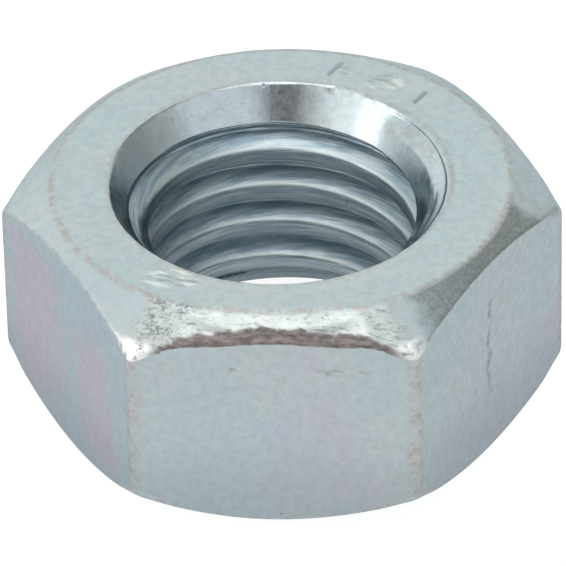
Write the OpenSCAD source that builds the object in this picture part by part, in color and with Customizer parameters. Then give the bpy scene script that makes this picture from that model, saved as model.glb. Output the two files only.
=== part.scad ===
// Plain hexagon nut, 12 mm coarse thread, chamfered on both faces.
// Millimetres, +Z up. The nut stands on its bearing face: the origin is the middle of that
// face, the thread runs along Z, two wrench flats face -Y and +Y, two corners lie on X.

/* [Hexagon] */
// Width across opposite wrench flats
across_flats = 19; // [18.5:0.1:20]
// Height of the nut, face to face
height = 9.7; // [9:0.1:14]
// Radius of the rounded upright corners
corner_radius = 0.4; // [0.2:0.05:1]

/* [Face chamfers] */
// Diameter of the flat ring left on each face inside the outer chamfer
face_diameter = 17.5; // [16:0.1:18.4]
// Slope of the outer chamfer at the middle of its width, degrees down from the face
chamfer_slope = 32; // [20:1:40]

/* [Thread] */
// Nominal thread diameter, at the thread roots
thread_diameter = 12; // [11.5:0.1:12.5]
// Bore left between the thread crests
crest_diameter = 10.4; // [10.1:0.1:10.8]
// Rise of the thread in one turn
pitch = 1.75; // [1.5:0.25:2]
// Height of a groove's middle above the bearing face where it crosses the +X side
groove_height = 0.53; // [0:0.01:1.75]
// Diameter of the countersink where it opens on each face
countersink_diameter = 13.2; // [12.6:0.1:14]
// Slope of the countersink wall, degrees down from the face
countersink_slope = 52; // [30:1:62]

/* [Hidden] */
// Flat pieces in one turn of the thread
steps_per_turn = 48;
// Half width of the thread groove at its root, by the metric thread form
root_half = pitch / 16;
// How far inside the crests the groove cutter reaches, so that it breaks into the open bore
reach = 0.25;
// The bore is two half rounds whose centres stand this far to either side of the axis,
// so each crest land is made of half turns with one true cylinder face apiece
bore_offset = 0.01;
// How far every cutter runs past the face it opens on
overlap = 0.5;
crest_radius = crest_diameter / 2;
root_radius = thread_diameter / 2;
countersink_radius = countersink_diameter / 2;
inner_radius = crest_radius - reach;
inner_half = root_half + (root_radius - inner_radius) * tan(30);
// The groove starts one turn below the nut and ends above it
turns = ceil(height / pitch) + 2;
start_z = groove_height - pitch;
// Distance from the axis to the outermost point of a rounded corner
corner_reach = (across_flats / 2 - corner_radius) * 2 / sqrt(3) + corner_radius;

// The chamfer is a band of a ball with this slope halfway between the face ring and a corner
ball_radius = (face_diameter / 2 + corner_reach) / 2 / sin(chamfer_slope);
// Height from the ball's centre to the face it leaves
ball_drop = sqrt(ball_radius * ball_radius - face_diameter * face_diameter / 4);

// Six flats with the upright corners rounded, as seen from above.
module hexagon_outline() {
    core = (across_flats / 2 - corner_radius) * 2 / sqrt(3);
    side = core / 2;
    for (k = [0:2])
        rotate(60 * k)
            square([2 * side, across_flats], center = true);
    circle(r = core, $fn = 6);
    for (k = [0:5])
        rotate(60 * k)
            translate([core, 0])
                circle(r = corner_radius, $fn = 48);
}

// Two balls whose overlap leaves the slightly crowned chamfer on both faces.
module chamfer_outline() {
    intersection_for(face = [0, 1])
        translate([0, 0, face == 1 ? height - ball_drop : ball_drop])
            sphere(r = ball_radius, $fn = 180);
}

// The bore between the thread crests, cut as two half rounds.
module bore() {
    wide = 2 * thread_diameter;
    for (s = [-1, 1])
        translate([0, 0, -overlap])
            linear_extrude(height + 2 * overlap)
                intersection() {
                    translate([0, s * bore_offset])
                        circle(r = crest_radius, $fn = 180);
                    translate([0, s * wide / 2])
                        square(wide, center = true);
                }
}

// The cone that opens one end of the bore; it points up and its rim lies at z = 0.
module countersink() {
    run = crest_radius - reach;
    translate([0, 0, -overlap])
        cylinder(r = countersink_radius, h = overlap, $fn = 180);
    cylinder(
        r1 = countersink_radius, r2 = run,
        h = (countersink_radius - run) * tan(countersink_slope), $fn = 180
    );
}

// One long right-hand helical groove, built section by section.
module thread_groove() {
    count = turns * steps_per_turn;
    sections = [
        for (i = [0:count])
            let (a = 360 * i / steps_per_turn, z = start_z + pitch * i / steps_per_turn)
                for (c = [
                    [inner_radius, -inner_half], [root_radius, -root_half],
                    [root_radius, root_half], [inner_radius, inner_half]
                ])
                    [c[0] * cos(a), c[0] * sin(a), z + c[1]]
    ];
    sides = [
        for (i = [0:count - 1])
            for (k = [0:3])
                let (
                    p = 4 * i + k, q = 4 * i + (k + 1) % 4,
                    r = 4 * (i + 1) + (k + 1) % 4, s = 4 * (i + 1) + k
                )
                    for (t = [[p, q, r], [p, r, s]])
                        t
    ];
    first = [[2, 1, 0], [3, 2, 0]];
    n = 4 * count;
    last = [[n, n + 1, n + 2], [n, n + 2, n + 3]];
    polyhedron(points = sections, faces = concat(sides, first, last));
}

// The whole nut: forged hexagon, chamfered, drilled, countersunk and tapped.
module nut_body() {
    color([0.72, 0.78, 0.81])
        difference() {
            intersection() {
                linear_extrude(height)
                    hexagon_outline();
                chamfer_outline();
            }
            bore();
            countersink();
            translate([0, 0, height])
                mirror([0, 0, 1])
                    countersink();
            thread_groove();
        }
}

nut_body();
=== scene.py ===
# %% [markdown]
# # A zinc plated hex nut
# The nut is one forged piece of steel: a hexagon, chamfered on both faces, countersunk at both
# ends and tapped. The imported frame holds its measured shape. This script gives that shape the
# skin of a real nut: worn edges, a torn chamfer, small burrs, and a tinted zinc plate.

# %% Load the frame
import math

import bmesh
import bpy
import numpy as np
from mathutils import Matrix, Vector, noise


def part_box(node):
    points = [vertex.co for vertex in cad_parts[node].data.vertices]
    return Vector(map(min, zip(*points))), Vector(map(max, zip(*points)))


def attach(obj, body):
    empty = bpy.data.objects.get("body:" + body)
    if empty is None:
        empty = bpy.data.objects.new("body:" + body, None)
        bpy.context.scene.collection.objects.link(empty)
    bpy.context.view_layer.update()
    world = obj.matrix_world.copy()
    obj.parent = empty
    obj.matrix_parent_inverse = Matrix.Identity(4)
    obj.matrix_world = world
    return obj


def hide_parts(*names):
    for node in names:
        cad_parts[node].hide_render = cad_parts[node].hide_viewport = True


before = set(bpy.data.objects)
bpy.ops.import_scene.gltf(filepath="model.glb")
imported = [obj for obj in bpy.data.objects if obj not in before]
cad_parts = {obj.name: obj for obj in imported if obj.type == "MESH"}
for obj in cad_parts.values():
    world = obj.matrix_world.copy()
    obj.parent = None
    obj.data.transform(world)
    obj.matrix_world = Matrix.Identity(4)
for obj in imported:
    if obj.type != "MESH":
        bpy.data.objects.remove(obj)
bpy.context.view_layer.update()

# %% [markdown]
# ## Sizes
# A nut is easier to think about in millimetres, so every shape is worked out in millimetres and
# turned into metres when the mesh is made. The outside sizes are read from the frame. The thread
# is the standard coarse thread for this nut, and its place matches the groove in the frame.

# %% Main sizes in millimetres
low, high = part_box("nut_body")
height = 1000 * (high.z - low.z)
half_flats = 1000 * high.y
corner_reach = 1000 * high.x
crest_radius = 5.2           # the bore left between the thread crests
root_radius = 6.0            # the bottom of the thread groove
pitch = 1.75                 # rise in one turn
groove_height = 0.53         # middle of the lowest groove where it crosses +X
rim_radius = 6.6             # the countersink where it opens on a face
cone_slope = math.tan(math.radians(52))
face_radius = 8.86           # the ring left flat inside the outer chamfer
chamfer_slope = math.tan(math.radians(34.5))
print("height", round(height, 3), "half flats", round(half_flats, 3),
      "corner reach", round(corner_reach, 3))

# %% [markdown]
# ## Helpers for shapes
# No mark on worn metal starts or ends at a hard line. A ramp that rises softly from 0 to 1 fades
# each one in and out, and smooth noise makes it uneven. Noise that depends only on the place
# comes out the same on every run, which a random generator would not promise so simply.

# %% Small helpers for shapes
def ramp(start, end, x):
    """0 before start, 1 after end, and a soft rise between them."""
    t = min(1.0, max(0.0, (x - start) / (end - start)))
    return t * t * (3 - 2 * t)


def band(x, start, end, soft):
    """1 between start and end, 0 outside, with soft borders."""
    return ramp(start - soft, start + soft, x) * (1 - ramp(end - soft, end + soft, x))


def turn_from(angle, middle):
    """Degrees from the middle direction, the short way round, with a sign."""
    return (math.degrees(angle) - middle + 180) % 360 - 180


def from_corner(angle):
    """Angle from the nearest upright corner."""
    return abs((angle + math.pi / 6) % (math.pi / 3) - math.pi / 6)


def rough(x, y, z, size, seed=0.0):
    """Smooth noise between about -1 and 1 whose lumps are about the given size in mm."""
    return noise.noise(Vector((x / size + seed, y / size - seed, z / size + 2 * seed)))


print("a ramp from 0 to 1 is", ramp(0, 1, 0.25), "a quarter of the way along")

# %% [markdown]
# ## Columns
# Seen from above the nut is a hexagon whose corners the forging die has rounded a little. The
# skin is laid out in upright columns all the way round. They stand close together at the corners,
# on the torn front edge and under the punch marks, and wider apart on the plain flats. Even
# columns would be simpler, but they would need several times as many to keep the corners round.

# %% Columns round the nut
cos30 = math.cos(math.radians(30))
corner_radius = (half_flats - corner_reach * cos30) / (1 - cos30)
core = corner_reach - corner_radius
tangent = math.degrees(math.atan2(corner_radius / 2, core + corner_radius * cos30))
near_corner = [0, 0.27, 0.53, 0.8, tangent, tangent + 0.5, tangent + 1.1]    # degrees
edge = tangent + 1.9
plain_gap, fine_gap = 1.5, 0.5                # degrees between columns
torn_corner = 240                             # the flat that starts here has the torn edge
fine_stretches = ((43, 80), (232, 238))       # under the punch marks, and beside the torn edge


def corner_gap(column):
    """Degrees from a column to the nearest corner."""
    return min(column % 60, 60 - column % 60)


columns = set()
for corner in range(0, 360, 60):
    for off in near_corner:
        columns.update(((corner + off) % 360, (corner - off) % 360))
    gap = fine_gap if corner == torn_corner else plain_gap
    columns.update(np.linspace(corner + edge, corner + 60 - edge, round((60 - 2 * edge) / gap)))
for first, last in fine_stretches:
    kept = {c for c in columns if not first < c < last or corner_gap(c) < edge}
    columns = kept | {c for c in np.arange(first, last, fine_gap) if corner_gap(c) > edge}
angles = np.radians(sorted(round(c, 4) for c in columns))
print("corner radius", round(corner_radius, 3), "mm,", len(angles), "columns")


def outline(angle):
    """Distance from the axis to the hexagon's outline."""
    off = from_corner(angle)
    if off < math.radians(tangent):
        return core * math.cos(off) + math.sqrt(corner_radius ** 2 - (core * math.sin(off)) ** 2)
    return half_flats / math.cos(math.pi / 6 - off)


# %% [markdown]
# ## Rim, ring and torn edge
# The cutters that made the upper face ran a little out of true. The rim of the countersink sits
# slightly off centre, a second edge of the cutter left a stepped crescent on its right side, and
# the chamfering tool tore the front edge. Each is a small function of the direction, so that the
# columns, the bore and the finish can all ask for the same shape and stay in step.

# %% The uneven edges of the upper face
def torn(angle):
    """How much the chamfering tool tore this part of the front edge, 0 to 1."""
    off = turn_from(angle, -89.5)
    return ramp(-23, -12, off) * (1 - ramp(13, 22, off))


def ring_edge(angle):
    """Radius where the flat ring of the upper face turns into the chamfer."""
    return face_radius + 0.06 * math.cos(2 * angle) - 0.4 * torn(angle)


def rim(angle):
    """Radius of the upper rim, whose cutter ran a little off centre to the left and front."""
    return rim_radius - 0.08 * (math.cos(angle) + math.sin(angle))


def lip(angle):
    """How strong the stepped crescent is, where the cutter's second edge touched the rim."""
    off = turn_from(angle, 10)
    return ramp(-52, -28, off) * (1 - ramp(20, 48, off))


def mouth(angle):
    """Radius at which the upper countersink opens, with its stepped crescent."""
    return rim(angle) + lip(angle) * (rim_radius - rim(angle))


print("the rim opens at", round(mouth(math.radians(225)), 2), "mm at the front left and",
      round(mouth(math.radians(90)), 2), "mm at the back")

# %% [markdown]
# ## Outer skin
# Each column of the outer skin runs from the rim of the countersink over the flat ring, the
# chamfer and a small bevel, down the flat, and back in under the nut. A bevel modifier could round
# the same edges, but only by one width all round. Written as a profile, the bevel widens at the
# corner tips, where nuts knock against each other, and along the torn edge.

# %% One half of an outer column
rows_on = {"top": (20, 13, 10), "under": (7, 7, 9)}     # rows on the ring, chamfer and half flat


def bend(a, b, c, count):
    """Points on a soft bend from a to c, pulled towards b."""
    t = np.linspace(0, 1, count)[:, None]
    a, b, c = (np.array(p, float) for p in (a, b, c))
    return (1 - t) ** 2 * a + 2 * t * (1 - t) * b + t ** 2 * c


def half_profile(angle, face):
    """Radius and depth below the face, from the rim to the middle of the flat."""
    reach = outline(angle)
    x, y = math.cos(angle), math.sin(angle)
    tear = torn(angle) if face == "top" else 0.0
    wave = 0.03 * rough(3 * x, 3 * y, 0, 0.35, 1 if face == "top" else 5)
    tip = 1 - ramp(0.2, 1.5, reach * from_corner(angle))   # the corners are rounded over more
    if face == "top":
        inner, lean = ring_edge(angle), 0.07 * math.cos(angle - 2.8)
        bevel_in = 0.12 + 0.05 * tear + 0.3 * wave + 0.2 * tip
        bevel_down = 0.13 + 0.07 * tear + 0.7 * wave + 0.22 * tip
        first = mouth(angle) + 0.12
    else:
        inner, lean = face_radius, 0.07 * math.cos(angle - 3.5)
        bevel_in, bevel_down = 0.15 + 0.25 * tip, 0.2 + 0.35 * tip
        first = rim_radius + 0.12
    soft = 0.14 + 0.16 * tear                   # half the width of the turn into the chamfer

    def chamfer(r):
        cut = 0.16 * tear * ramp(9.05, 9.4, r + 2 * wave)
        return (r - inner) * (chamfer_slope + lean) * (1 - 0.22 * tear) + cut

    ring_rows, chamfer_rows, flat_rows = rows_on[face]
    ring_end = inner - soft - 0.03
    ring = [(r, 0.0) for r in np.linspace(first, ring_end, ring_rows)]
    turn = bend((inner - soft, 0), (inner, 0), (inner + soft, chamfer(inner + soft)), 6)
    start = reach - bevel_in
    slope = [(r, chamfer(r)) for r in np.linspace(inner + soft, start, chamfer_rows + 1)[1:-1]]
    end = (reach, chamfer(reach) + bevel_down)
    corner = bend((start, chamfer(start)), (reach, chamfer(reach) + 0.1 * bevel_down), end, 7)
    side = [(reach, d) for d in np.linspace(end[1], height / 2, flat_rows + 1)[1:]]
    return np.array(ring + [tuple(p) for p in turn] + slope + [tuple(p) for p in corner] + side)


half = half_profile(math.radians(-90), "top")
print("rows in the top half:", len(half),
      "flat starts", round(half[-1 - rows_on["top"][2], 1], 2), "mm down in front")

# %% [markdown]
# ## Bore
# The tap leaves a V groove that climbs round the bore. The countersinks cut off the first turns.
# Cutting these shapes from each other with booleans would leave knife edges. Instead the bore is
# one radius for each direction and height, the largest that any of the cutters left. A soft
# maximum rounds every meeting edge slightly, as plating and wear do.

# %% Bore, countersinks and thread
edge_soft = 0.02                              # rounding where two cuts meet
# depth and how far inside the rim: a small facet, a fine step, a shelf, and a steep wall
lip_depths, lip_inward = (0, 0.1, 0.2, 0.56, 1.69, 3), (0, 0.16, 0.19, 0.72, 1.4, 2.4)


def soft_max(a, b, soft):
    """The larger of two radii, with the edge where they meet rounded."""
    return 0.5 * (a + b + math.sqrt((a - b) ** 2 + soft * soft))


def low_cone(depth):
    """Radius of the lower countersink at a depth inside its face."""
    return rim_radius - depth / cone_slope


def top_cone(angle, depth):
    """The upper countersink, slightly curved, with a fine step and a shelf where the lip is."""
    share = lip(angle)
    stepped = rim_radius - np.interp(depth, lip_depths, lip_inward) if share > 0 else 0.0
    inward = min(0.87 * depth - 0.075 * depth * depth, 0.54 + 0.72 * (depth - 0.75))
    return (1 - share) * (rim(angle) - inward) + share * stepped


def bore_radius(angle, z):
    """Radius of the bore's wall: crest, groove or countersink, whichever cut deepest."""
    u = (z - groove_height) / pitch - angle / math.tau
    u = (u - round(u)) * pitch                 # height above the nearest groove's middle
    groove = root_radius - max(0.0, abs(u) - pitch / 16) * math.sqrt(3)
    r = soft_max(groove, crest_radius, edge_soft + 0.12 * ramp(0, -0.4, u))
    r = soft_max(r, top_cone(angle, height - z), edge_soft)
    return soft_max(r, low_cone(z), edge_soft)


print("bore radius halfway up on +X:", round(bore_radius(0, height / 2), 3))

# %% [markdown]
# ## Rows in the bore
# The countersinks get plain level rows, close together at the rim. The rows of the thread climb
# with the helix, so that they lie along its crests and roots. Level rows would cross the thread
# at a slant and give it a stepped edge.

# %% Heights of the rows
cone_depth = 0.92                             # the plain rows end and the thread's begin here
low_edge, high_edge = cone_depth, height - cone_depth
ring_depths = [0, 0.025, 0.06, 0.1, 0.15, 0.2, 0.26, 0.35, 0.46, 0.56, 0.66, 0.78]
# rows of one turn, in mm from the middle of the groove, close together at its root and crests
half_turn_rows = [0.06, 0.11, 0.16, 0.24, 0.33, 0.42, 0.5, 0.545, 0.57, 0.595, 0.65, 0.76]
turn_rows = [-r for r in half_turn_rows[::-1]] + [0] + half_turn_rows + [pitch / 2]
rows_per_turn = len(turn_rows)
first_turn = math.floor((low_edge - pitch - groove_height) / pitch)
turns = 8                                     # enough to pass the top from anywhere
row_heights = [groove_height + pitch * turn + row
               for turn in range(first_turn, first_turn + turns) for row in turn_rows]
row_heights = [z for z in row_heights if low_edge - pitch - 0.1 < z < high_edge + 0.1]
print(rows_per_turn, "rows to a turn,", len(row_heights), "rows in the thread")

# %% [markdown]
# ## Skinning
# All the points are placed first, column by column. A thread row that runs out of the top or
# the bottom of the thread shares the last point of the countersink there, so the two grids meet
# without a gap. The nut becomes one closed skin, as the real one is.

# %% Place the points
points, part_of = [], []
rim_round = 0.07                              # depth over which the rim is rounded out


def place(angle, radius, z, part):
    """Adds a point and gives its number."""
    points.append((radius * math.cos(angle), radius * math.sin(angle), z))
    part_of.append(part)
    return len(points) - 1


outer_ids, top_ids, low_ids, thread_ids = [], [], [], []
for angle in angles:
    top = half_profile(angle, "top")
    under = half_profile(angle, "under")[::-1][1:]
    column = [place(angle, r, height - d, "outer") for r, d in top]
    outer_ids.append(column + [place(angle, r, d, "outer") for r, d in under])
    for ids, is_top in ((top_ids, True), (low_ids, False)):
        column = []
        for depth in ring_depths:
            z = height - depth if is_top else depth
            flare = max(0.0, rim_round - depth) ** 2 / 0.12
            column.append(place(angle, bore_radius(angle, z) + flare, z, "bore"))
        z = high_edge if is_top else low_edge
        ids.append(column + [place(angle, bore_radius(angle, z), z, "bore")])

for angle, top, under in zip(angles, top_ids, low_ids):
    column = []
    for start in row_heights:
        z = start + pitch * angle / math.tau
        if z < low_edge + 0.02:
            column.append(under[-1])
        elif z > high_edge - 0.02:
            column.append(top[-1])
        else:
            column.append(place(angle, bore_radius(angle, z), z, "bore"))
    thread_ids.append(column)
print(len(points), "points")

# %% [markdown]
# Two neighbouring columns are joined by a ladder of four-sided faces. Where points were shared,
# a face has one corner fewer, or none is needed.

# %% Join them with faces
faces = []


def join(left, right):
    """Faces between two neighbouring columns of point numbers. Merged points make triangles."""
    for k in range(min(len(left), len(right)) - 1):
        ring = [left[k], left[k + 1], right[k + 1], right[k]]
        kept = [p for i, p in enumerate(ring) if p != ring[i - 1]]
        if len(set(kept)) > 2:
            faces.append(kept)


for j in range(len(angles)):
    n = (j + 1) % len(angles)
    join(outer_ids[j], outer_ids[n])
    join(top_ids[n], top_ids[j])
    join(low_ids[j], low_ids[n])
    join([top_ids[j][0], outer_ids[j][0]], [top_ids[n][0], outer_ids[n][0]])
    join([outer_ids[j][-1], low_ids[j][0]], [outer_ids[n][-1], low_ids[n][0]])
    there = thread_ids[n]
    if n == 0:            # after a whole turn the rows meet the ones a pitch higher
        there = thread_ids[0][rows_per_turn:] + [top_ids[0][-1]] * rows_per_turn
    join(thread_ids[j], there)
print(len(faces), "faces")

# %% [markdown]
# ## Tool marks and dents
# Forging, chamfering and tumbling in a barrel with other nuts leave marks. The ones that catch
# the light are shaped here. Each mark also gets a mask: a number from 0 to 1 on every point, which
# the zinc plate reads later. A painted texture could do the same, but a mask made together with
# the dent lies exactly on it.

# %% A mask for each kind of mark
masks = {name: np.zeros(len(points)) for name in
         ("tear", "hammer", "punch", "seam", "bore", "cone", "flat", "corner", "drag",
          "shade", "front", "glint_tips", "stamp", "lilac", "foot_shade", "cool", "crest")}
print(len(masks), "masks")

# %% [markdown]
# In the bore the masks tell the cut cones from the thread. They also place a painted highlight
# along the upper edge of each crest, and painted shade low on each crest and towards the bottom
# of the bore, where little light comes back. Small burrs stand along the back right of the rim.

# %% Bore and countersinks
def mark_bore(i, x, y, z):
    """Masks of a point in the bore, and burrs where it is on the rim."""
    r, angle = math.hypot(x, y), math.atan2(y, x)
    depth, in_top = height - z, height - z < height / 2
    in_cone = r - (top_cone(angle, depth) if in_top else low_cone(z))
    masks["cone"][i] = 1 - ramp(0.02, 0.06, abs(in_cone))
    masks["bore"][i] = 1 - masks["cone"][i] * in_top
    below = (groove_height - z + pitch * angle / math.tau) % pitch     # down from the groove
    # Painted highlight along the upper edge of each crest.
    masks["crest"][i] = band(below, 0.5, 0.64, 0.05)
    # Painted shade: darker low on each crest and towards the bottom of the bore.
    masks["shade"][i] = max(0.8 * ramp(0.6, 1.15, below) * ramp(0.07, 0.02, r - crest_radius),
                            ramp(0.74, 0.92, depth / height))
    masks["seam"][i] = 1 - ramp(0.0, 0.05, min(depth, z))
    burr_end = 0.3
    if depth < burr_end:
        off = math.degrees(angle)
        burr = ramp(45, 52, off) * (1 - ramp(72, 78, off))
        push = 0.02 * rough(x, y, z, 0.5, 3) + burr * (0.02 + 0.07 * rough(x, y, z, 0.4, 4))
        push *= 1 - ramp(0.05, burr_end, depth)
        points[i] = (x * (1 + push / r), y * (1 + push / r), z)


for i, kind in enumerate(part_of):
    if kind == "bore":
        mark_bore(i, *points[i])
print("points on a cut cone:", int((masks["cone"] > 0.5).sum()))

# %% [markdown]
# The wrench flats are pressed in a die and are never quite level. Their dents are only a few
# hundredths of a millimetre deep, but they bend the reflections. The flat at the front left has a
# lilac film on it, and every flat gets painted shade towards its foot and along its lower edge.

# %% Wrench flats
film_flat = 210                               # direction of the flat with the lilac film


def mark_flat(i, x, y, z):
    """Masks and shallow dents of a point on a flat or an upright corner."""
    r, angle = math.hypot(x, y), math.atan2(y, x)
    upright = from_corner(angle) * outline(angle)          # mm from the corner's middle
    film_turn = abs(turn_from(angle, film_flat))
    masks["flat"][i] = 1
    masks["corner"][i] = 1 - ramp(0.2, 0.42, upright)
    masks["cool"][i] = ramp(34, 27, film_turn)
    # Painted shade: darker over the lower 5 mm of each flat, and more along its bottom edge.
    masks["foot_shade"][i] = 0.7 * ramp(5, 0.5, z) + 0.3 * ramp(0.6, 0.2, z)
    if film_turn < 30:                        # two upright strips with wandering borders
        along = r * math.sin(angle - math.radians(film_flat))
        along += 0.3 * rough(x, y, z, 1.5, 21) + 0.12 * z
        left = band(along, -4.0, 0.4, 0.5)
        right = band(along, 1.3, 4.3, 0.4) * band(z, -1, 6.8, 0.8)
        masks["lilac"][i] = band(z, 1.2, 8.2, 0.8) * max(left, right)
    dent = 0.02 * rough(x, y, z, 3.0, 7) * ramp(0.3, 1.5, upright)
    dent += 0.006 * rough(x, y, z, 0.7, 8)
    points[i] = (x * (1 - (0.01 + dent) / r), y * (1 - (0.01 + dent) / r), z)


on_flat = [i for i, (x, y, z) in enumerate(points)
           if part_of[i] == "outer" and math.hypot(x, y) > outline(math.atan2(y, x)) - 0.02]
for i in on_flat:
    mark_flat(i, *points[i])
print("points on the flats:", len(on_flat))

# %% [markdown]
# The upper ring of a real nut carries stamped marks. Two plain punched dashes and three worn
# patches stand in for them, and they spell nothing. The dashes are pressed into the mesh. The
# patches are too fine for it and are left to the bump of the plate, with a painted highlight on
# their ridge tops and painted shade in the valleys between.

# %% Punched and stamped marks
# angle, radius, length, width, tilt from the radius, depth
punch_marks = [(75.8, 7.75, 0.95, 0.11, -18, 0.05), (46.6, 7.72, 0.9, 0.11, 12, 0.05)]
# patches of fine ridges left by a worn stamp: x, y, half length, half width
worn_stamps = [(-3.9, -6.4, 1.15, 0.6), (3.9, 6.55, 0.75, 0.5), (2.3, 7.35, 0.35, 0.3)]


def dash(x, y, angle, radius, length, width, tilt):
    """Depth shape of a straight mark on a face: 1 along its middle and 0 outside it."""
    a = math.radians(angle)
    dx, dy = x - radius * math.cos(a), y - radius * math.sin(a)
    t = a + math.radians(tilt)
    along = dx * math.cos(t) + dy * math.sin(t)
    across = -dx * math.sin(t) + dy * math.cos(t)
    out = math.hypot(max(0.0, abs(along) - length / 2), across)
    return 1 - ramp(0.3 * width, width, out)


def punched(i, x, y, angle):
    """Masks the dashes and the worn patches, and gives how deep a dash goes here."""
    down = 0.0
    for mark in punch_marks:
        if abs(turn_from(angle, mark[0])) < 9:
            shape = dash(x, y, *mark[:5])
            down += mark[5] * shape
            masks["punch"][i] = max(masks["punch"][i], shape)
    for middle_x, middle_y, long, wide in worn_stamps:
        inside = math.hypot((x - middle_x) / long, (y - middle_y) / wide)
        masks["stamp"][i] = max(masks["stamp"][i], ramp(1.15, 0.8, inside))
    return down


print(len(punch_marks), "dashes and", len(worn_stamps), "worn patches")

# %% [markdown]
# The front of the chamfer tells how the nut was made. The tool tore a strip along its lower edge,
# left a rubbed band beside it, dragged a dark one on the right, and another nut hammered
# the left end. Each is a range of directions and radii with soft, uneven borders.

# %% Upper ring and chamfer
def mark_top(i, x, y, z):
    """Masks and dents of a point on the upper ring or its chamfer."""
    r, angle = math.hypot(x, y), math.atan2(y, x)
    reach, middle = outline(angle), ring_edge(angle)
    upright = from_corner(angle) * reach
    masks["seam"][i] = max(1 - ramp(0.05, 0.2, abs(r - middle)),
                           1 - ramp(0.05, 0.16, r - mouth(angle) - 0.04),
                           1 - ramp(0.02, 0.14, reach - r))

    side_turn = abs(turn_from(angle, -89))
    width = 0.14 + 0.32 * ramp(27, 17, side_turn)
    torn_from = reach - r + 0.13 * rough(x, y, z, 0.4, 2) + 0.06 * rough(x, y, z, 0.15, 22)
    tear = ramp(width + 0.05, width - 0.05, torn_from) * ramp(28, 25, side_turn)
    left_turn = turn_from(angle, -110)
    hit = ramp(-16, -8, left_turn) * (1 - ramp(-4, 5, left_turn))
    hit *= ramp(8.5, 8.9, r) * ramp(10.3, 9.8, r)
    right_turn = turn_from(angle, -30) + 3 * rough(x, y, z, 0.5, 23)
    drag = ramp(-27, -22, right_turn) * (1 - ramp(20, 23, right_turn))
    drag *= ramp(0.06, 0.14, r - middle)
    front_turn = turn_from(angle, -90)
    front = ramp(-34, -30, front_turn) * ramp(0, 0.2, r - middle) * (1 - ramp(28, 33, front_turn))
    # Painted glint on the two front corner tips, the front left one stronger.
    glint_tips = ramp(10.2, 10.5, r) * ramp(0.9, 0.3, upright) * (y < -5)
    glint_tips *= 1.0 if x < 0 else 0.6             # the front left tip is the brighter one
    for name, value in (("tear", tear), ("hammer", hit), ("drag", drag), ("front", front),
                        ("glint_tips", glint_tips)):
        masks[name][i] = value

    down = 0.05 * tear * rough(x, y, z, 0.3, 10) + 0.03 * tear * rough(x, y, z, 0.13, 11)
    down += 0.03 * hit * rough(x, y, z, 0.35, 12)
    if r > face_radius:
        down += 0.012 * rough(x, y, z, 0.5, 13) + 0.02 * drag * rough(x, y, z, 0.25, 14)
        down += 0.03 * front * glint_tips * rough(x, y, z, 0.3, 15)
    down += punched(i, x, y, angle)
    highest = 0.02 * (r > face_radius - 0.3)   # nothing stands proud of the bearing ring
    points[i] = (x, y, z - max(down, -highest))


def mark_under(i, x, y, z):
    """The worn lines on the edges of the underside."""
    r = math.hypot(x, y)
    masks["seam"][i] = max(1 - ramp(0.05, 0.2, abs(r - face_radius)),
                           1 - ramp(0.02, 0.12, r - rim_radius - 0.02),
                           1 - ramp(0.02, 0.14, outline(math.atan2(y, x)) - r))


flat_points = set(on_flat)
for i, kind in enumerate(part_of):
    if kind == "outer" and i not in flat_points:
        mark = mark_top if points[i][2] > height / 2 else mark_under
        mark(i, *points[i])
print({name: int((mask > 0.5).sum()) for name, mask in masks.items()})

# %% [markdown]
# ## The nut as an object
# The points and faces become one smooth-shaded mesh, with the masks stored on it as attributes.
# A count of open edges shows at once whether the skin is closed: it has to be none.

# %% Make the nut
mesh = bpy.data.meshes.new("nut")
mesh.from_pydata([(x / 1000, y / 1000, z / 1000) for x, y, z in points], [], faces)
for name, mask in masks.items():
    mesh.attributes.new(name, "FLOAT", "POINT").data.foreach_set("value", mask.astype(np.float32))
mesh.polygons.foreach_set("use_smooth", [True] * len(mesh.polygons))
nut = bpy.data.objects.new("nut", mesh)
bpy.context.scene.collection.objects.link(nut)
bm = bmesh.new()
bm.from_mesh(mesh)
bmesh.ops.recalc_face_normals(bm, faces=bm.faces)
print("points", len(bm.verts), "open edges", sum(len(e.link_faces) != 2 for e in bm.edges),
      "volume", round(bm.calc_volume() * 1e9, 1), "mm3",
      "triangles", sum(len(f.verts) - 2 for f in bm.faces))
bm.to_mesh(mesh)
bm.free()
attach(nut, "root")
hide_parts("nut_body")

# %% [markdown]
# ## Zinc plate
# Bright zinc is a thin metal coat over steel. It is a blue-grey metal with faint pink and cyan
# tints from the clear chromate film over it, and it wears to a brownish line on sharp edges. The
# material is built from noise nodes, so it has grain at every size and repeats nowhere. A few
# helpers keep the node work short enough to read like a recipe.

# %% Node helpers
zinc = bpy.data.materials.new("zinc_plated_steel")
zinc.use_nodes = True
tree = zinc.node_tree            # the helpers work in whichever tree this name holds
shader = tree.nodes["Principled BSDF"]


def feed(socket, value):
    """Links a node's output to a socket, or sets a plain value on it."""
    if isinstance(value, bpy.types.NodeSocket):
        tree.links.new(value, socket)
    elif isinstance(value, tuple) and socket.type == "RGBA" and len(value) == 3:
        socket.default_value = (*value, 1)
    else:
        socket.default_value = value


def maths(kind, a, b=0.0, c=0.0):
    """A maths node on up to three values."""
    node = tree.nodes.new("ShaderNodeMath")
    node.operation = kind
    for socket, value in zip(node.inputs, (a, b, c)):
        feed(socket, value)
    return node.outputs[0]


def both(a, b):
    """Two masks multiplied: strong only where both are."""
    return maths("MULTIPLY", a, b)


def vectors(kind, a, b=(0, 0, 0), output=0):
    """A maths node on two vectors."""
    node = tree.nodes.new("ShaderNodeVectorMath")
    node.operation = kind
    feed(node.inputs[0], a)
    feed(node.inputs[1], b)
    return node.outputs[output]


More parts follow.
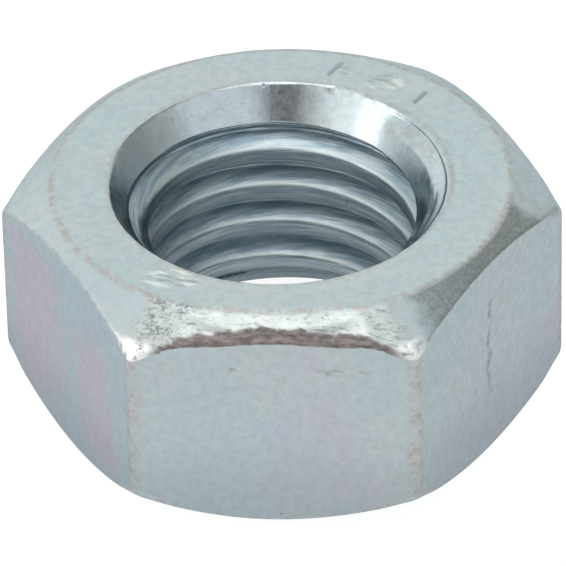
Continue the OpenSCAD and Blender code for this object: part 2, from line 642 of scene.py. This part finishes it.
def between(value, start, end, low_value=0.0, high_value=1.0):
    """Turns start..end into low_value..high_value, softly, and holds it outside."""
    node = tree.nodes.new("ShaderNodeMapRange")
    node.interpolation_type = "SMOOTHSTEP"
    for socket, item in zip(node.inputs, (value, start, end, low_value, high_value)):
        feed(socket, item)
    return node.outputs[0]


def blend(factor, a, b):
    """Colour a where the factor is 0, and b where it is 1."""
    node = tree.nodes.new("ShaderNodeMix")
    node.data_type = "RGBA"
    for number, value in ((0, factor), (6, a), (7, b)):     # the mix node's colour sockets
        feed(node.inputs[number], value)
    return node.outputs[2]


def coats(colour, rows):
    """Lays colours one over another. A row says where, how strongly, and which colour."""
    for where, strength, coat in rows:
        colour = blend(both(where, strength), colour, coat)
    return colour


print("helpers ready for", zinc.name)

# %% [markdown]
# Everything on the nut is some pattern laid on by a mask. Clouds give grain and mottling, and the
# same clouds stretched or turned give streaks and ridges. The pattern coordinates are the nut's
# own, so the grain stays on it from every side.

# %% Patterns
place_on = tree.nodes.new("ShaderNodeTexCoord").outputs["Object"]


def clouds(where, size, detail=3.0, roughness=0.5, warp=0.0):
    """Noise whose lumps are about the given size in millimetres."""
    node = tree.nodes.new("ShaderNodeTexNoise")
    feed(node.inputs["Vector"], where)
    node.inputs["Scale"].default_value = 1000 / size
    node.inputs["Detail"].default_value = detail
    node.inputs["Roughness"].default_value = roughness
    node.inputs["Distortion"].default_value = warp
    return node.outputs["Fac"]


def stretched(where, x, y, z):
    """The pattern coordinates scaled: a small number draws the pattern out that way."""
    node = tree.nodes.new("ShaderNodeMapping")
    feed(node.inputs["Vector"], where)
    node.inputs["Scale"].default_value = (x, y, z)
    return node.outputs["Vector"]


def turned(where, degrees):
    """The pattern coordinates turned about the upright axis."""
    node = tree.nodes.new("ShaderNodeMapping")
    feed(node.inputs["Vector"], where)
    node.inputs["Rotation"].default_value = (0, 0, math.radians(degrees))
    return node.outputs["Vector"]


def mask_of(name):
    """A mask stored on the mesh."""
    node = tree.nodes.new("ShaderNodeAttribute")
    node.attribute_name = name
    return node.outputs["Fac"]


(tear, hammer, punch, seam, bore_mask, cone_mask, flat_mask, corner_mask, drag, shade,
 front, glint_tips, stamp, lilac, foot_shade, cool, crest) = (mask_of(name) for name in masks)
fine = clouds(place_on, 0.35, 4, 0.65)
speck = clouds(place_on, 0.13, 3, 0.7)
mottle = clouds(place_on, 0.8, 4, 0.7)
rake = clouds(stretched(place_on, 0.3, 1.0, 1.0), 0.16, 4, 0.7)
ridges = clouds(stretched(turned(place_on, 23), 0.22, 1.0, 1.0), 0.26, 4, 0.65, 0.4)
streaks = clouds(stretched(place_on, 0.45, 0.45, 9.0), 0.9, 4, 0.6)
chatter = clouds(stretched(place_on, 1.0, 1.0, 0.3), 0.3, 3, 0.6)
print(len(tree.nodes), "nodes so far")

# %% [markdown]
# ## Colour of the plate
# Clean zinc first: two blue-greys, then the pink, blue and lilac films of the chromate, and a
# grain that is darker in fine lumps and brighter in specks. Real plate is never one colour, and
# these small differences are what makes it read as plate and not as paint.

# %% Clean plate
blue_grey, soft_grey = (0.40, 0.48, 0.51), (0.43, 0.475, 0.50)
tint = clouds(place_on, 5.0, 2, 0.5)
pinks = clouds(stretched(place_on, 1, 1, 0.55), 3.2, 3, 0.5)
blues = clouds(stretched(place_on, 1, 1, 0.55), 2.9, 2, 0.5, 0.3)
colour = coats(blend(between(tint, 0.35, 0.65), blue_grey, soft_grey), [
    (both(between(pinks, 0.5, 0.64), flat_mask), 0.5, (0.455, 0.42, 0.495)),     # pink film
    (both(between(blues, 0.53, 0.66), flat_mask), 0.25, (0.36, 0.47, 0.56)),     # blue film
    (cool, 0.5, (0.37, 0.475, 0.55)),                                            # colder flat
    (both(lilac, between(pinks, 0.3, 0.55, 0.55, 1.0)), 0.85, (0.50, 0.42, 0.485)),
    (between(mottle, 0.45, 0.62), 0.2, (0.46, 0.50, 0.46)),                      # mottling
    (between(fine, 0.4, 0.65), 0.32, (0.31, 0.37, 0.39)),                        # dull grain
    (between(speck, 0.5, 0.75), 0.18, (0.60, 0.62, 0.60)),                       # bright grain
])
print(len(tree.nodes), "nodes with the clean plate")

# %% [markdown]
# ## Wear and dirt, and a painted glint
# Then what has happened to it since: brown lines where sharp edges have lost their plate, oil
# dried dark in the dragged band, dirt in the hammered patch, bare torn metal, and a painted glint
# on the two front corner tips. The order matters, because each coat covers the ones before it.

# %% Worn and torn places, and painted glints
line = both(seam, between(clouds(place_on, 0.4, 4, 0.75), 0.42, 0.56))
rust = both(corner_mask, between(clouds(place_on, 0.3, 4, 0.7), 0.48, 0.62))
grime = both(hammer, both(between(speck, 0.45, 0.56), between(mottle, 0.44, 0.54)))
torn_metal = blend(between(rake, 0.4, 0.6), (0.215, 0.185, 0.175), (0.12, 0.10, 0.095))
colour = coats(colour, [
    (line, 0.55, (0.36, 0.28, 0.25)),                        # brown line on sharp edges
    (corner_mask, 0.4, (0.45, 0.42, 0.41)),                  # rubbed upright corners
    (rust, 0.4, (0.27, 0.22, 0.20)),                         # and rust spots on them
    (both(drag, between(speck, 0.3, 0.62, 1.0, 0.6)), 0.92, (0.195, 0.215, 0.205)),
    (punch, 0.6, (0.17, 0.20, 0.20)),                        # the dashes darker
    (front, 0.8, (0.44, 0.465, 0.45)),                       # rubbed front chamfer
    (both(cone_mask, between(mottle, 0.5, 0.64)), 0.3, (0.26, 0.25, 0.29)),      # smears
    (both(front, between(rake, 0.52, 0.62)), 0.65, (0.20, 0.22, 0.21)),          # flecks
    (grime, 0.75, (0.10, 0.12, 0.12)),                       # in the hammered patch
    (tear, 0.92, torn_metal),
    (both(glint_tips, between(fine, 0.38, 0.5)), 0.8, (0.98, 0.98, 0.97)),             # painted glint on the corner tips
    (both(stamp, between(ridges, 0.52, 0.58)), 0.8, (0.66, 0.68, 0.64)),         # painted highlight on the ridge tops
    (both(stamp, between(ridges, 0.47, 0.42)), 0.6, (0.22, 0.27, 0.26)),         # and painted shade in the valleys
])
print(len(tree.nodes), "nodes with the wear")

# %% [markdown]
# ## Pits and scratches
# A plated nut has a few small round pits and the odd thin scratch. Too many would look like cast
# iron, so the pits are rare cells of a cell pattern, and each scratch is placed as a line that
# wanders a little.

# %% Pits and scratches
def pits(where, cell, radius, share):
    """1 in small round pits: one cell in so many has one, of the given radius in mm."""
    node = tree.nodes.new("ShaderNodeTexVoronoi")
    feed(node.inputs["Vector"], where)
    node.inputs["Scale"].default_value = 1000 / cell
    split = tree.nodes.new("ShaderNodeSeparateColor")
    tree.links.new(node.outputs["Color"], split.inputs[0])
    size = both(split.outputs[1], radius / cell)
    hole = between(maths("DIVIDE", node.outputs["Distance"], maths("ADD", size, 0.01)), 1.0, 0.4)
    return both(hole, maths("LESS_THAN", split.outputs[0], share))


def scratch(middle, across, length, width):
    """A thin wandering scratch through a point in mm; across has 0 for the axis it runs along."""
    wander = tree.nodes.new("ShaderNodeTexNoise")
    feed(wander.inputs["Vector"], place_on)
    wander.inputs["Scale"].default_value = 1000
    push = vectors("MULTIPLY", vectors("SUBTRACT", wander.outputs["Color"], (0.5, 0.5, 0.5)),
                   (0.0012, 0.0012, 0.0012))
    off = vectors("SUBTRACT", vectors("ADD", place_on, push), tuple(m / 1000 for m in middle))
    beside = vectors("LENGTH", vectors("MULTIPLY", off, across), output=1)
    along = vectors("LENGTH", vectors("MULTIPLY", off, tuple(1 - k for k in across)), output=1)
    return both(between(beside, width / 1000, 0.3 * width / 1000),
                between(along, length / 2000, 0.7 * length / 2000))


upright_line, level_line = (1, 1, 0), (0, 1, 1)
small_scratches = [((2.6, -9.5, 7.6), level_line, 2.2), ((-1.8, -9.5, 7.7), level_line, 0.8),
                   ((-6.9, -5.5, 3.0), upright_line, 2.0)]
marks = maths("MAXIMUM", pits(place_on, 1.3, 0.09, 0.3), pits(place_on, 0.6, 0.05, 0.18))
marks = both(marks, maths("SUBTRACT", 1.0, bore_mask))
scratched = scratch((8.16, -4.87, 5.4), upright_line, 5.2, 0.2)      # the long one on the right
for middle, across, length in small_scratches:
    scratched = maths("MAXIMUM", scratched, both(scratch(middle, across, length, 0.13), 0.7))
scratched = both(scratched, between(fine, 0.36, 0.48, 0.3, 1.0))
colour = coats(colour, [
    (maths("MAXIMUM", marks, scratched), 0.6, (0.20, 0.165, 0.16)),
    (foot_shade, 0.42, (0.14, 0.175, 0.20)),                       # painted shade: flats darker towards the foot
])
print(1 + len(small_scratches), "scratches")

# %% [markdown]
# ## Thread
# The tap runs in oil and drags the metal round the bore. That leaves streaks along the thread,
# so the thread gets its own colour, laid over the plate by the bore's mask. Over the streaks go a
# painted highlight on the crests and painted shade low on each crest and at the bottom of the
# bore.

# %% Colour of the thread
dull_steel, bright_steel = (0.25, 0.335, 0.39), (0.44, 0.51, 0.54)
inside = coats(blend(between(streaks, 0.4, 0.62), dull_steel, bright_steel), [
    (crest, 0.6, (0.60, 0.64, 0.61)),                        # painted highlight on the crests
    (shade, 0.8, (0.07, 0.10, 0.12)),                        # painted shade low on the crests and at the bottom of the bore
])
colour = coats(colour, [(bore_mask, 0.95, inside)])
feed(shader.inputs["Base Color"], colour)
shader.inputs["Metallic"].default_value = 1.0
shader.inputs["Specular Tint"].default_value = (0.62, 0.66, 0.68, 1)
print(len(tree.nodes), "nodes for the colour")

# %% [markdown]
# ## Roughness and bump
# Zinc plate is satin, and the freshly cut cone is the glossiest part of it. Grain, ridges and
# torn metal are too fine to model, so the bump node tilts the shading where they are. Heights are
# in thousandths of a millimetre, so they can be judged against real plate.

# %% Roughness and bump
roughness = between(fine, 0.3, 0.7, 0.34, 0.44)
for where, change in ((cone_mask, -0.17), (tear, 0.12), (drag, 0.10),
                      (both(bore_mask, streaks), 0.08)):
    roughness = maths("MULTIPLY_ADD", where, change, roughness)
feed(shader.inputs["Roughness"], roughness)
bump = tree.nodes.new("ShaderNodeBump")
bump.inputs["Strength"].default_value = 1.0
bump.inputs["Distance"].default_value = 1.0


def raised(value, microns, mask=1.0):
    """Height in metres of a pattern that goes from 0 to 1."""
    return both(both(value, mask), microns * 1e-6)


relief = raised(speck, 2.5)
for pattern, microns, mask in (
        (fine, 6, 1.0), (rake, 30, tear), (rake, 18, front), (speck, 14, hammer),
        (rake, 14, drag), (fine, 30, glint_tips), (streaks, 26, bore_mask), (chatter, 2, cone_mask),
        (marks, -14, 1.0), (ridges, 22, stamp)):
    relief = maths("ADD", relief, raised(pattern, microns, mask))
feed(bump.inputs["Height"], relief)
tree.links.new(bump.outputs["Normal"], shader.inputs["Normal"])
mesh.materials.append(zinc)
print(len(tree.nodes), "nodes in", zinc.name)

# %% [markdown]
# ## Floor
# The nut stands on a plain white table. The table glows a little, so it stays white and lights
# the nut's lower edges from below. It lies a hair under the nut, because two faces at exactly
# the same height flicker into each other.

# %% Floor
floor_size, floor_gap = 6, 0.00002            # metres
bpy.ops.mesh.primitive_plane_add(size=floor_size, location=(0, 0, -floor_gap))
floor = bpy.context.object
floor.name = "floor"
paper = bpy.data.materials.new("white_paper")
paper.use_nodes = True
paper_shader = paper.node_tree.nodes["Principled BSDF"]
for name, value in (("Base Color", (0.12, 0.12, 0.12, 1)), ("Roughness", 0.9),
                    ("Emission Color", (1, 1, 1, 1)), ("Emission Strength", 0.92)):
    paper_shader.inputs[name].default_value = value
floor.data.materials.append(paper)
print("floor", floor_size, "m wide")

# %% [markdown]
# ## Light
# Metal shows what is around it, so the light is drawn as what the nut would see in a studio: an
# even pale grey room with soft panels in it. Each panel is a round patch in one direction of the
# sky. Area lamps could do this too, but they would not show so softly in the polished cone. A
# value below the room's own grey is a dark panel, which gives the metal its contrast.

# %% Studio light all round
world = bpy.data.worlds.new("studio")
bpy.context.scene.world = world
world.use_nodes = True
tree = world.node_tree
looking = tree.nodes.new("ShaderNodeTexCoord").outputs["Generated"]


def towards(azimuth, elevation, inner, outer):
    """1 within the inner angle of a direction, 0 beyond the outer angle."""
    a, e = math.radians(azimuth), math.radians(elevation)
    way = (math.cos(a) * math.cos(e), math.sin(a) * math.cos(e), math.sin(e))
    return between(vectors("DOT_PRODUCT", looking, way, output=1),
                   math.cos(math.radians(outer)), math.cos(math.radians(inner)))


light = (0.80, 0.80, 0.80)
panels = [
    # azimuth, elevation, inner and outer angle, light
    (93, 40, 30, 60, (1.24, 1.26, 1.22)),          # wide panel at the back
    (155, 22, 20, 42, (1.20, 1.22, 1.20)),         # back left
    (137, 6, 15, 30, (1.42, 1.42, 1.36)),          # back left, low
    (-100, 82, 12, 30, (2.7, 2.7, 2.7)),           # overhead
    (-42, 34, 22, 40, (1.16, 1.20, 1.24)),         # front right
    (-1, 24, 6, 18, (0.66, 0.66, 0.62)),           # dark panel at the right
    (24, 10, 10, 24, (0.46, 0.47, 0.47)),          # dark panel at the right, low
    (28, 44, 10, 28, (0.42, 0.44, 0.43)),          # dark panel at the right, high
    (-112, 38, 8, 22, (0.95, 0.93, 0.90)),         # front
    (212, 31, 10, 30, (1.8, 1.8, 1.76)),           # front left
    (199, 24, 5, 14, (3.4, 3.5, 3.5)),             # small strong one at the left
    (-92, 39, 3, 16, (0.17, 0.14, 0.13)),          # small dark panel in front
]
for azimuth, elevation, inner, outer, value in panels:
    light = blend(towards(azimuth, elevation, inner, outer), light, value)
feed(tree.nodes["Background"].inputs["Color"], light)
tree.nodes["Background"].inputs["Strength"].default_value = 1.0
print(len(panels), "panels")

# %% [markdown]
# ## Camera
# A long lens from above the front flat, so that the hexagon is almost without perspective. A wide
# lens close by would make the near flat look bigger than the others. The camera's own axes are
# worked out first: it looks down at the nut, from a little to one side, and is tilted slightly.

# %% Camera
look_down, turn, roll = map(math.radians, (36.943, -2.844, 1.311))
distance, up_shift = 300.0, -0.115    # mm: how far off, and the aim above the nut's middle
right = Vector((1, 0, 0))
up = Vector((0, math.sin(look_down), math.cos(look_down)))
ahead = Vector((0, math.cos(look_down), -math.sin(look_down)))
unturn = Matrix.Rotation(-turn, 3, "Z")
stand = unturn @ (up_shift * up - distance * ahead) + Vector((0, 0, height / 2))
cam_right = unturn @ (math.cos(roll) * right - math.sin(roll) * up)
cam_up = unturn @ (math.sin(roll) * right + math.cos(roll) * up)
camera = bpy.data.objects.new("camera", bpy.data.cameras.new("camera"))
bpy.context.scene.collection.objects.link(camera)
camera.data.sensor_width, camera.data.lens = 36, 487.64               # mm
camera.data.clip_start, camera.data.clip_end = 0.01, 20
pose = Matrix((cam_right, cam_up, -(unturn @ ahead))).transposed().to_4x4()
pose.translation = stand / 1000
camera.matrix_world = pose
bpy.context.scene.camera = camera
bpy.context.scene.view_settings.view_transform = "Standard"
print("camera at", [round(c, 4) for c in pose.translation])

# %% End
print("scene built")
